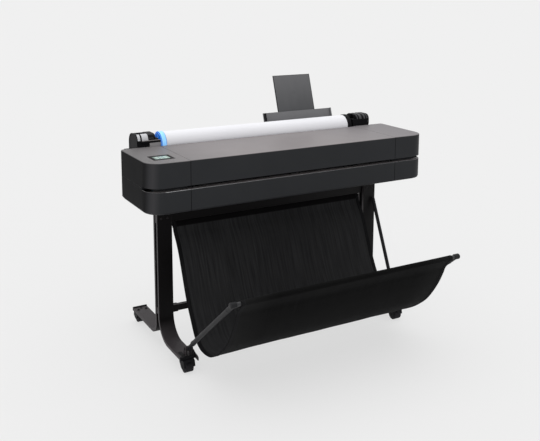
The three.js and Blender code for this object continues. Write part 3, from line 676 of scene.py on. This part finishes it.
# ---- paper roll and holders -----------------------------------------------------------------
def hub_details():
    """Raised rings and spokes on the outer face of both hubs, and a step round the spindle."""
    for side, name in ((-1, "left_roll_hub"), (1, "right_roll_hub")):
        low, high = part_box(name)
        middle = (low + high) / 2
        face = low.x if side < 0 else high.x
        radius = (high.z - low.z) / 2
        out = Vector((side, 0, 0))
        centre = (face, middle.y, middle.z)
        bm = bmesh.new()
        turned(bm, ring_profile(-0.5 * MM, 2.2 * MM, radius * 0.80, radius * 0.90, 0.8 * MM), centre, out, 48)
        turned(bm, ring_profile(-0.5 * MM, 5 * MM, 11 * MM, 17 * MM, 1.2 * MM), centre, out, 32)
        for k in range(6):
            angle = math.pi * k / 3
            spoke = bmesh.new()
            rounded_box(spoke, (0, -1.6 * MM, 15 * MM), (1.8 * MM, 1.6 * MM, radius * 0.82), 0.7 * MM)
            spoke.transform(Matrix.Rotation(angle, 4, "X"))
            if side < 0:
                spoke.transform(Matrix.Scale(-1, 4, X_AXIS))
            spoke.transform(Matrix.Translation(centre))
            mesh = bpy.data.meshes.new("spoke")
            spoke.to_mesh(mesh)
            spoke.free()
            bm.from_mesh(mesh)
            bpy.data.meshes.remove(mesh)
        slot = "blue_plastic" if side < 0 else "dark_plastic"
        piece(name + "_ribs", bm, slot, "roll_spindle")


FRONT_BEND, REAR_BEND = 24 * MM, 40 * MM  # the roll holders' rounded upper corners


def holder_path(low, high):
    """Outline of a roll holder in (y, z) from its front foot over the top to the rear."""
    steps = 8
    points = [(low.y, low.z + 58 * MM)]
    bends = (
        (math.pi, FRONT_BEND, low.y + FRONT_BEND),
        (math.pi / 2, REAR_BEND, high.y - REAR_BEND),
    )
    for start, bend, y in bends:
        for k in range(steps + 1):
            angle = start - k / steps * math.pi / 2
            z = high.z - bend + bend * math.sin(angle)
            points.append((y + bend * math.cos(angle), z))
    points.append((high.y, low.z + 20 * MM))
    return points


def band(bm, path, x0, x1, proud, sunk=0.6 * MM):
    """A strip of even width laid along a path in (y, z), standing proud of it."""
    outer, inner = [], []
    for i, (y, z) in enumerate(path):
        before, after = path[max(i - 1, 0)], path[min(i + 1, len(path) - 1)]
        along = Vector((after[0] - before[0], after[1] - before[1])).normalized()
        out = Vector((-along.y, along.x))
        outer.append((y + out.x * proud, z + out.y * proud))
        inner.append((y - out.x * sunk, z - out.y * sunk))
    prism(bm, outer + inner[::-1], x0, x1)


def holder_details():
    """Ribs, ledge and rim of both roll holders."""
    for side, name in ((-1, "left_roll_holder"), (1, "right_roll_holder")):
        low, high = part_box(name)
        path = holder_path(low, high)
        outer = low.x if side < 0 else high.x
        inner = high.x - 21 * MM if side < 0 else low.x + 21 * MM
        bm = bmesh.new()
        if side < 0:
            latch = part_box("roll_latch")[1].x + 3 * MM
            stations = [(latch + k * (inner - 3 * MM - latch) / 3, 2.6 * MM) for k in range(4)]
            arc = path[2:9]
        else:
            stations = [(inner + x * MM, width * MM) for x, width in ((3, 4), (17, 12), (42, 8), (58, 4))]
            arc = path[2:-1]
        for x, width in stations:
            band(bm, arc, x, x + width, 1.6 * MM)
        # The ribs carry the painted highlight look.
        piece(name + "_ribs", bm, "dark_plastic", look=RIB_HIGHLIGHT)
        bm = bmesh.new()
        rim_x = (outer - side * 1.2 * MM, outer + side * 1.5 * MM)
        band(bm, path, min(rim_x), max(rim_x), 0.8 * MM, 3 * MM)
        piece(name + "_rim", bm, "dark_plastic")
    low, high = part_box("right_roll_holder")
    start = (low.x + 38 * MM, low.y - 2.5 * MM, low.z + 78 * MM)
    end = (high.x - 24 * MM, low.y + 2 * MM, low.z + 83 * MM)
    block("right_roll_holder_ledge", start, end, 1.2 * MM, "dark_plastic")


def left_holder_details():
    """Pale inlay, crown over the spindle, shelf with its lit edge, and the fairing below it, pale as painted
    light.
    """
    low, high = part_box("left_roll_holder")
    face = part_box("left_roll_hub")[0].x
    bm = bmesh.new()
    band(bm, holder_path(low, high)[1:9], low.x + 2.5 * MM, low.x + 13.5 * MM, 0.7 * MM)
    piece("roll_holder_inlay", bm, "grey_plastic")

    bm = bmesh.new()
    crown = [(0, -31), (0, -15), (4, -7), (10, -2.5), (19, 0), (70, 0), (80, -5), (84, -14), (84, -31)]
    outline = [(low.y + y * MM, high.z + z * MM) for y, z in crown]
    prism(bm, outline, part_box("roll_latch")[1].x + 0.5 * MM, face - 27 * MM)
    piece("holder_crown", bm, "dark_plastic")

    shelf_z = high.z - 26 * MM
    left, right = low.x + 19 * MM, face - 6 * MM
    start = (left, low.y - 5 * MM, shelf_z - 9 * MM)
    block("holder_shelf", start, (right, low.y + 2 * MM, shelf_z), 0.8 * MM, "dark_plastic")
    start = (left, low.y - 5.3 * MM, shelf_z - 0.4 * MM)
    end = (right, low.y - 1 * MM, shelf_z + 2.2 * MM)
    edge = moulded("shelf_edge", srgb(132, 127, 127), 0.4, 0.2)
    block("holder_shelf_edge", start, end, 0.8 * MM, "dark_plastic", look=edge)
    start = (face - 53 * MM, low.y - 4.5 * MM, shelf_z - 26 * MM)
    end = (face - 4 * MM, low.y + 1 * MM, shelf_z - 8.6 * MM)
    # Painted light: the fairing is pale to stand for a lit surface of the cover.
    fairing = moulded("fairing_painted_light", srgb(150, 147, 148), 0.45, 0.15)
    block("holder_fairing", start, end, 1 * MM, "dark_plastic", look=fairing)


# ---- sheet feeder ---------------------------------------------------------------------------
def joint(name):
    return next(j for j in frame["joints"] if j["name"] == name)


def on_feeder(bm, foot_y, foot_z, lean):
    """Tilts what was built upright to the feeder's lean, and sets it on its foot."""
    turn = Matrix.Rotation(-math.atan2(lean.y, lean.z), 4, "X")
    bm.transform(Matrix.Translation((0, foot_y, foot_z)) @ turn)


def feeder_details():
    """Dark rim and a round grip on the extension, ribs across the back of the tray."""
    lean = Vector(joint("extension_slide")["axis"]).normalized()
    low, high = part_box("feeder_extension")
    thick = 4 * MM
    length = (high.z - low.z) / lean.z
    bm = bmesh.new()
    rim = 2.2 * MM
    spans = [
        ((low.x, 0), (low.x + rim, length)),
        ((high.x - rim, 0), (high.x, length)),
        ((low.x, length - rim), (high.x, length)),
    ]
    for (x0, s0), (x1, s1) in spans:
        rounded_box(bm, (x0, -0.12 * MM, s0 + 1 * MM), (x1, thick + 0.12 * MM, s1), 0.1 * MM)
    on_feeder(bm, low.y, low.z + thick * lean.y, lean)
    piece("extension_rim", bm, "dark_plastic", "extension")
    bm = bmesh.new()
    middle = (low.x + high.x) / 2
    ring = ring_profile(-0.6 * MM, 0.15 * MM, 5 * MM, 8 * MM, 0.1 * MM)
    turned(bm, ring, (middle, 0, length * 0.56), (0, -1, 0), 28)
    on_feeder(bm, low.y, low.z + thick * lean.y, lean)
    grip = moulded("grip_ring", srgb(84, 84, 86), 0.45, 0.25)
    piece("extension_grip", bm, "feeder_plastic", "extension", look=grip)

    tray_low, tray_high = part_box("feeder_tray")
    tray_length = (tray_high.z - tray_low.z) / lean.z
    bm = bmesh.new()
    sides = ((tray_low.x + 6 * MM, low.x - 8 * MM), (high.x + 8 * MM, tray_high.x - 6 * MM))
    for x0, x1 in sides:
        for k in range(5):
            s = tray_length * (0.62 + 0.075 * k)
            rounded_box(bm, (x0, 4.6 * MM, s), (x1, 6.2 * MM, s + 2 * MM), 0.5 * MM)
    on_feeder(bm, tray_low.y, tray_low.z, lean)
    piece("tray_ribs", bm, "feeder_plastic")


# ---- stand details --------------------------------------------------------------------------
def foot_details():
    """End caps, slots, strut tabs and bolts of the four feet."""
    caps, slots, tabs, bolts = bmesh.new(), bmesh.new(), bmesh.new(), []
    for word in ("left", "right"):
        for end, away, rise in (("front", -1, 0.8 * MM), ("rear", 1, 4 * MM)):
            low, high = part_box(f"{word}_leg_{end}")
            tip = low.y if end == "front" else high.y
            y0, y1 = sorted((tip - away * 6 * MM, tip + away * 2.2 * MM))
            start = (low.x - 0.8 * MM, y0, FOOT_TOP - 12.8 * MM)
            rounded_box(caps, start, (high.x + 0.8 * MM, y1, FOOT_TOP + rise), 1.5 * MM)
            if end == "rear":
                bolts += [(low.x + 14 * MM, tip - 34 * MM, FOOT_TOP)]
                bolts += [(high.x - 14 * MM, tip - 34 * MM, FOOT_TOP)]
        low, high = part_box(f"{word}_leg_front")
        x = low.x + 17 * MM
        start = (x - 8 * MM, low.y + 8 * MM, FOOT_TOP - 0.5 * MM)
        rounded_box(slots, start, (x + 8 * MM, low.y + 50 * MM, FOOT_TOP + 0.8 * MM), 6 * MM, 4)
        tab = [(25, 77), (8, 70), (-16, 66.5), (-23, 61), (-23, 50), (25, 50)]
        outline = [(low.y + y * MM, z * MM) for y, z in tab]
        prism(tabs, outline, high.x + 0.3 * MM, high.x + 4 * MM)
    piece("foot_end_caps", caps, "dark_plastic")
    piece("foot_slots", slots, "rubber")
    piece("foot_tabs", tabs, "stand_paint")
    screws("foot_screws", bolts, (0, 0, 1), "rubber", 6.5 * MM)


def beam_details():
    """Screws that hold the upper beam to the legs, in front and behind."""
    beam_low, beam_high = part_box("upper_beam")
    spots = []
    for word in ("left", "right"):
        leg_low, leg_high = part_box(word + "_leg_front")
        middle = (leg_low.x + leg_high.x) / 2
        for z in (beam_low.z + 22 * MM, beam_high.z - 30 * MM):
            spots += [(middle - 14 * MM, z), (middle + 14 * MM, z)]
    rear_y = beam_high.y + 12.3 * MM
    radius = 4.5 * MM
    screws("beam_screws", [(x, LEG_FACE_Y, z) for x, z in spots], (0, -1, 0), "stand_paint", radius)
    screws("beam_screws_rear", [(x, rear_y, z) for x, z in spots], (0, 1, 0), "zinc_steel", radius)


def crossbar_details():
    """Sockets where the lower crossbar meets the legs."""
    low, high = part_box("lower_crossbar")
    bm = bmesh.new()
    for side, word in ((-1, "left"), (1, "right")):
        leg_low, leg_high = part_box(word + "_leg_front")
        edge = leg_high.x if side < 0 else leg_low.x
        x0, x1 = sorted((edge, edge - side * 26 * MM))
        start = (x0, low.y - 1.6 * MM, low.z - 2 * MM)
        rounded_box(bm, start, (x1, high.y + 1.6 * MM, high.z + 2 * MM), 1.2 * MM)
    piece("crossbar_sockets", bm, "stand_paint")


def caster_details():
    """Hub caps on both sides of each caster, and a brake pedal on the front pair."""
    for name in ("front_left_caster", "front_right_caster", "rear_left_caster", "rear_right_caster"):
        low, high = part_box(name + "_wheel")
        middle = (low + high) / 2
        bm = bmesh.new()
        for side in (-1, 1):
            face = low.x if side < 0 else high.x
            profile = disc_profile(1.6 * MM, 8 * MM, 1 * MM)
            turned(bm, profile, (face, middle.y, middle.z), (side, 0, 0), 24)
        piece(name + "_caps", bm, "dark_plastic", name + "_roll")
        if not name.startswith("front"):
            continue
        fork_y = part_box(name + "_fork")[0].y
        start = (middle.x - 9 * MM, fork_y - 6 * MM, 40 * MM)
        end = (middle.x + 9 * MM, fork_y + 9 * MM, 45 * MM)
        block(name + "_brake", start, end, 1.5 * MM, "dark_plastic", name + "_swivel")


# ---- catch bin ------------------------------------------------------------------------------
def cloth_line():
    """Middle line of the CAD cloth in (y, z), from the rear bar down and forward."""
    points = []
    for node in ("bin_fabric_rear", "bin_fabric_front"):
        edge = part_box(node)[1].x - 1 * MM
        rim = {
            (round(v.co.y, 5), round(v.co.z, 5)) for v in nodes[node].data.vertices if v.co.x > edge
        }
        for p in rim:
            near = min((q for q in rim if q != p), key=lambda q: math.dist(p, q))
            if math.dist(p, near) < 4 * MM:
                points.append(((p[0] + near[0]) / 2, (p[1] + near[1]) / 2))
    points = sorted(set(points), reverse=True)
    return [Vector(p) for p in points]


def sleeve(bar, towards, radius):
    """Cloth round a bar, from the stitched tail over the bar to where the sheet leaves it."""
    tail, steps = 26 * MM, 12
    low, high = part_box(bar)
    centre = Vector(((low.y + high.y) / 2, (low.z + high.z) / 2))
    up = (centre - towards).normalized()
    out = Vector((-up.y, up.x))
    if out.x > 0:
        out.negate()
    start = math.atan2(-out.y, -out.x)
    turn = math.pi if Vector((-out.y, out.x)).dot(-up) > 0 else -math.pi
    path = [centre - up * tail - out * 1.6 * MM, centre - up * tail * 0.6 - out * 2.2 * MM]
    for k in range(steps + 1):
        angle = start + turn * k / steps
        path.append(centre + Vector((math.cos(angle), math.sin(angle))) * radius)
    return path


def resample(path, step):
    """Even points along a smooth curve through a path."""
    fine = []
    for i in range(len(path) - 1):
        p0, p1, p2 = path[max(i - 1, 0)], path[i], path[i + 1]
        p3 = path[min(i + 2, len(path) - 1)]
        for k in range(8):
            t = k / 8
            a = 2 * p1 + (p2 - p0) * t
            b = (2 * p0 - 5 * p1 + 4 * p2 - p3) * t * t + (3 * p1 - p0 - 3 * p2 + p3) * t**3
            fine.append((a + b) / 2)
    fine.append(path[-1])
    lengths = [0.0]
    for a, b in zip(fine, fine[1:]):
        lengths.append(lengths[-1] + (b - a).length)
    count = max(2, round(lengths[-1] / step))
    even, i = [], 0
    for k in range(count + 1):
        goal = lengths[-1] * k / count
        while i + 1 < len(lengths) - 1 and lengths[i + 1] < goal:
            i += 1
        share = (goal - lengths[i]) / max(lengths[i + 1] - lengths[i], 1e-9)
        even.append(fine[i].lerp(fine[i + 1], min(1, max(0, share))))
    return even, lengths[-1]


def cloth_normals(line):
    """A unit vector across the line at each of its points."""
    normals = []
    for i in range(len(line)):
        along = line[min(i + 1, len(line) - 1)] - line[max(i - 1, 0)]
        normals.append(Vector((-along.y, along.x)).normalized())
    return normals


def wrinkle(x, s, length, half):
    """How far the cloth stands off its smooth line: slow waves, deeper at the bottom."""
    free = max(0.0, math.sin(math.pi * min(1, max(0, s / length)))) ** 0.7
    slow = noise.noise(Vector((x * 2.3, s * 3.1, 1.7))) * 5 * MM
    fine = noise.noise(Vector((x * 11, s * 2.2, 9.1))) * 1.4 * MM
    edge = 1 - min(1, abs(x) / half) ** 8
    return (slow + fine) * free * (0.35 + 0.65 * edge)


def cloth_grid(bm, line, length, xs, half):
    """Faces along the line for each column in xs, with the flat cloth's own metres as UV."""
    normals = cloth_normals(line)
    uv = bm.loops.layers.uv.new("cloth")
    rows, places = [], {}
    for i, p in enumerate(line):
        s = length * i / (len(line) - 1)
        row = []
        for x in xs:
            off = wrinkle(x, s, length, half)
            q = p + normals[i] * off
            wide = min(1, max(0, i / len(line) * 3 - 1.6)) * CLOTH_FLARE
            vert = bm.verts.new((x * (1 + wide / half), q.x, q.y))
            places[vert] = (x, s)
            row.append(vert)
        rows.append(row)
    for lower, upper in zip(rows, rows[1:]):
        for k in range(len(xs) - 1):
            face = bm.faces.new((lower[k], lower[k + 1], upper[k + 1], upper[k]))
            for loop in face.loops:
                loop[uv].uv = places[loop.vert]


def soft_strip(name, bm, looks, thickness):
    """Smooth thick cloth, with a look for each side."""
    obj = new_object(name, bm, looks[0])
    for face in obj.data.polygons:
        face.use_smooth = True
    solid = obj.modifiers.new("thickness", "SOLIDIFY")
    solid.thickness = thickness
    solid.offset = 0
    solid.use_even_offset = False
    for look in looks[1:]:
        obj.data.materials.append(look.material)
        solid.material_offset = 1
    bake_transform(obj)
    return obj


def bin_cloth():
    """One sheet of cloth from the rear bar to the front bar, with a sleeve round each bar."""
    middle = cloth_line()
    rear = sleeve("bin_rear_bar", middle[1], 8 * MM)
    front = sleeve("bin_front_bar", middle[-2], 10.2 * MM)
    path = rear + middle[1:-1] + front[::-1]
    line, length = resample(path, 7 * MM)
    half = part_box("bin_fabric_front")[1].x
    columns = 48
    xs = [-half + 2 * half * k / columns for k in range(columns + 1)]

    bm = bmesh.new()
    cloth_grid(bm, line, length, xs, half)
    sheet = soft_strip("bin_cloth", bm, (CLOTH_OUTSIDE_SHADE, LOOKS["bin_cloth"]), 1 * MM)
    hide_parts("bin_fabric_rear", "bin_fabric_front")

    hem_width = 17 * MM
    hem_line = line[6:-6]
    hem_length = length * (len(hem_line) - 1) / (len(line) - 1)
    for side, word in ((-1, "left"), (1, "right")):
        bm = bmesh.new()
        edge = side * (half + 0.6 * MM)
        strip = sorted((edge, edge - side * hem_width))
        columns_x = [strip[0] + (strip[1] - strip[0]) * k / 4 for k in range(5)]
        cloth_grid(bm, hem_line, hem_length, columns_x, half)
        hem = soft_strip(f"bin_hem_{word}", bm, (HEM,), 2.6 * MM)


def bin_frame_details():
    """Sleeves on the ends of the front bar, collars and pivot caps on the arms, rod sleeves."""
    bar_low, bar_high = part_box("bin_front_bar")
    bar = (bar_low + bar_high) / 2
    arm_x = bar_high.x + 12.3 * MM
    bm = bmesh.new()
    for side in (-1, 1):
        end = (side * (arm_x - 11.8 * MM), bar.y, bar.z)
        turned(bm, ring_profile(0, 23.6 * MM, 9.4 * MM, 11.2 * MM, 1.2 * MM), end, (side, 0, 0), 28)
        cap = disc_profile(2.4 * MM, 9.8 * MM, 1.6 * MM)
        turned(bm, cap, (side * (arm_x + 11.4 * MM), bar.y, bar.z), (side, 0, 0), 28)
    piece("bin_bar_ends", bm, "bar_paint", "bin_frame")

    pivot = Vector(joint("bin_fold")["pos_m"])
    collars, caps = bmesh.new(), bmesh.new()
    for word, side in (("left", -1), ("right", 1)):
        start = Vector((side * arm_x, pivot.y, pivot.z))
        run = Vector((side * arm_x, bar.y, bar.z)) - start
        for share, reach, inner, outer in ((0.13, 14, 6.6, 10.4), (0.90, 8, 9.0, 10.4)):
            profile = ring_profile(-reach / 2 * MM, reach / 2 * MM, inner * MM, outer * MM, 1 * MM)
            turned(collars, profile, start + run * share, run, 24)
        low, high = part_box(f"{word}_bin_arm")
        for face, x in ((-1, low.x), (1, high.x)):
            turned(caps, disc_profile(2 * MM, 7 * MM, 0.7 * MM), (x, pivot.y, pivot.z), (face, 0, 0), 24)
    piece("bin_arm_collars", collars, "bar_paint", "bin_frame")
    piece("bin_pivot_caps", caps, "dark_plastic", "bin_frame")

    rod_low, rod_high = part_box("right_stay_rod")
    x = (rod_low.x + rod_high.x) / 2
    bm = bmesh.new()
    inset = Vector((0, 7.4 * MM, 3.2 * MM))
    foot = Vector((x, rod_low.y, rod_low.z)) + inset
    top = Vector((x, rod_high.y, rod_high.z)) - inset
    run = (top - foot).normalized()
    sleeve_profile = ring_profile(-9 * MM, 9 * MM, 7.6 * MM, 9.2 * MM, 1 * MM)
    turned(bm, sleeve_profile, foot + run * 14 * MM, run, 24)
    piece("stay_rod_sleeve", bm, "dark_plastic")


# ---- studio ---------------------------------------------------------------------------------
BACKDROP = srgb(240, 240, 240)


def studio():
    """Pale floor that glows a little, even surrounding light and one very soft light overhead."""
    world = bpy.data.worlds.new("studio")
    bpy.context.scene.world = world
    world.use_nodes = True
    background = world.node_tree.nodes["Background"]
    background.inputs["Color"].default_value = BACKDROP
    background.inputs["Strength"].default_value = 1.0

    sun = bpy.data.lights.new("overhead", "SUN")
    sun.energy = 1.1
    sun.angle = math.radians(80)
    lamp = bpy.data.objects.new("overhead", sun)
    lamp.rotation_euler = (math.radians(-6), math.radians(6), 0)
    bpy.context.scene.collection.objects.link(lamp)

    glow_share = 0.72
    lean = lamp.rotation_euler.to_matrix() @ Vector((0, 0, 1))
    arriving = BACKDROP[0] + sun.energy * lean.z / math.pi
    shade = BACKDROP[0] * (1 - glow_share) / arriving
    look = Look("studio_floor", roughness=1.0, specular_ior_level=0.0)
    tone = look.mix(look.noise(2), (shade, shade, shade, 1), scaled((shade,) * 3, 0.998))
    look.set(base_color=tone, emission_color=BACKDROP, emission_strength=glow_share)
    bm = bmesh.new()
    bmesh.ops.create_grid(bm, x_segments=2, y_segments=2, size=80)
    floor = new_object("floor", bm, look)


def photo_camera():
    data = bpy.data.cameras.new("photo_camera")
    data.sensor_fit = "HORIZONTAL"
    data.sensor_width = 36
    data.lens = 51.09
    data.shift_y = -0.1954
    data.clip_end = 300
    camera = bpy.data.objects.new("photo_camera", data)
    azimuth, elevation, roll = -29.32, 9.16, 0.14
    turn = Matrix.Rotation(math.radians(azimuth), 4, "Z")
    tilt = Matrix.Rotation(math.radians(90 - elevation), 4, "X")
    spin = Matrix.Rotation(math.radians(roll), 4, "Z")
    place = Matrix.Translation((-1.6171, -2.7029, 1.4817))
    camera.matrix_world = place @ turn @ tilt @ spin
    bpy.context.scene.collection.objects.link(camera)
    bpy.context.scene.camera = camera


# ---- build ----------------------------------------------------------------------------------
bpy.context.scene.view_settings.view_transform = "Standard"
dress_cad_nodes()
slot_lip_highlights()
screen_tiles()
rear_details()
hub_details()
holder_details()
left_holder_details()
feeder_details()
foot_details()
beam_details()
crossbar_details()
caster_details()
bin_cloth()
bin_frame_details()
studio()
photo_camera()
